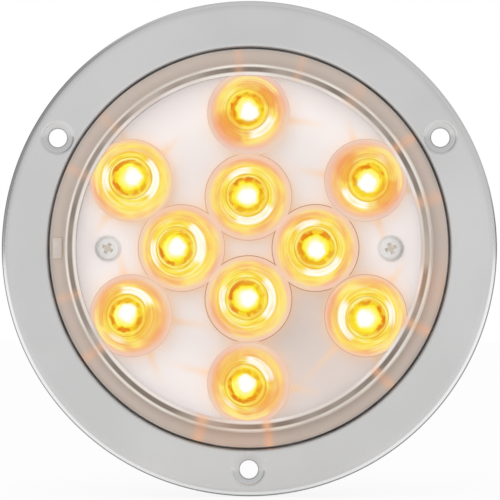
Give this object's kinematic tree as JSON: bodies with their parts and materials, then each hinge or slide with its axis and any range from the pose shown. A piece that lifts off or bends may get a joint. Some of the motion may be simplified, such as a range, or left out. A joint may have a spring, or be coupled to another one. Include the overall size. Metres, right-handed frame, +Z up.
{
  "type": "flange-mounted led warning lamp",
  "caption": "Round flange-mounted LED warning lamp: stamped steel flange with dimpled screw holes, clear lens over amber LED optics, and a pull-out lamp unit with a rear plug receptacle.",
  "frame": {"origin": "centre of the plane where the flange's rim meets the panel, on the lamp's axis", "axes": "-Y is the way the lens faces and the lamp shines, +Y goes into the panel, +Z is up with one screw hole at the bottom"},
  "size_m": [0.1398, 0.0415, 0.1398],
  "materials": {
    "satin_stainless_steel": "stamped sheet with a satin finish",
    "black_rubber": "moulded, matt",
    "spring_steel": "bent strip, bright",
    "black_abs": "moulded with a fine grain",
    "clear_polycarbonate": "moulded clear, polished",
    "white_solder_mask": "metal-core board under white solder mask",
    "clear_acrylic": "moulded clear, lit amber from below",
    "amber_diode": "silicone cap over a lit amber die",
    "zinc_plated_steel": "bright zinc plate",
    "nickel_plated_brass": "turned and nickel plated",
    "green_circuit_board": "glass-epoxy board under green solder mask",
    "natural_nylon": "moulded",
    "ferrite": "sintered, matt",
    "aluminium_can": "drawn can",
    "black_epoxy": "moulded package",
    "tinned_brass": "turned and tin plated",
    "potting_resin": "poured and cured"
  },
  "bodies": {
    "flange_unit": {"mounting_flange": "satin_stainless_steel", "seat_ring": "black_rubber", "retaining_clip_1": "spring_steel", "retaining_clip_2": "spring_steel", "retaining_clip_3": "spring_steel"},
    "lamp_unit": {"rear_housing": "black_abs", "lens": "clear_polycarbonate", "led_board": "white_solder_mask", "optic_01": "clear_acrylic", "optic_02": "clear_acrylic", "optic_03": "clear_acrylic", "optic_04": "clear_acrylic", "optic_05": "clear_acrylic", "optic_06": "clear_acrylic", "optic_07": "clear_acrylic", "optic_08": "clear_acrylic", "optic_09": "clear_acrylic", "optic_10": "clear_acrylic", "led_01": "amber_diode", "led_02": "amber_diode", "led_03": "amber_diode", "led_04": "amber_diode", "led_05": "amber_diode", "led_06": "amber_diode", "led_07": "amber_diode", "led_08": "amber_diode", "led_09": "amber_diode", "led_10": "amber_diode", "board_screw_left": "zinc_plated_steel", "board_screw_right": "zinc_plated_steel", "board_washer_left": "zinc_plated_steel", "board_washer_right": "zinc_plated_steel", "board_spacer_left": "nickel_plated_brass", "board_spacer_right": "nickel_plated_brass", "driver_board": "green_circuit_board", "board_connector": "natural_nylon", "driver_choke": "ferrite", "driver_capacitor": "aluminium_can", "controller_chip": "black_epoxy", "power_transistor": "black_epoxy", "surge_diode": "black_epoxy", "terminal_pin_1": "tinned_brass", "terminal_pin_2": "tinned_brass", "terminal_pin_3": "tinned_brass", "terminal_potting": "potting_resin"}
  },
  "joints": [
    {"name": "lamp_pull", "type": "slide", "parent": "flange_unit", "child": "lamp_unit", "axis": [0, -1, 0], "range_m": [0, 0.04]}
  ]
}
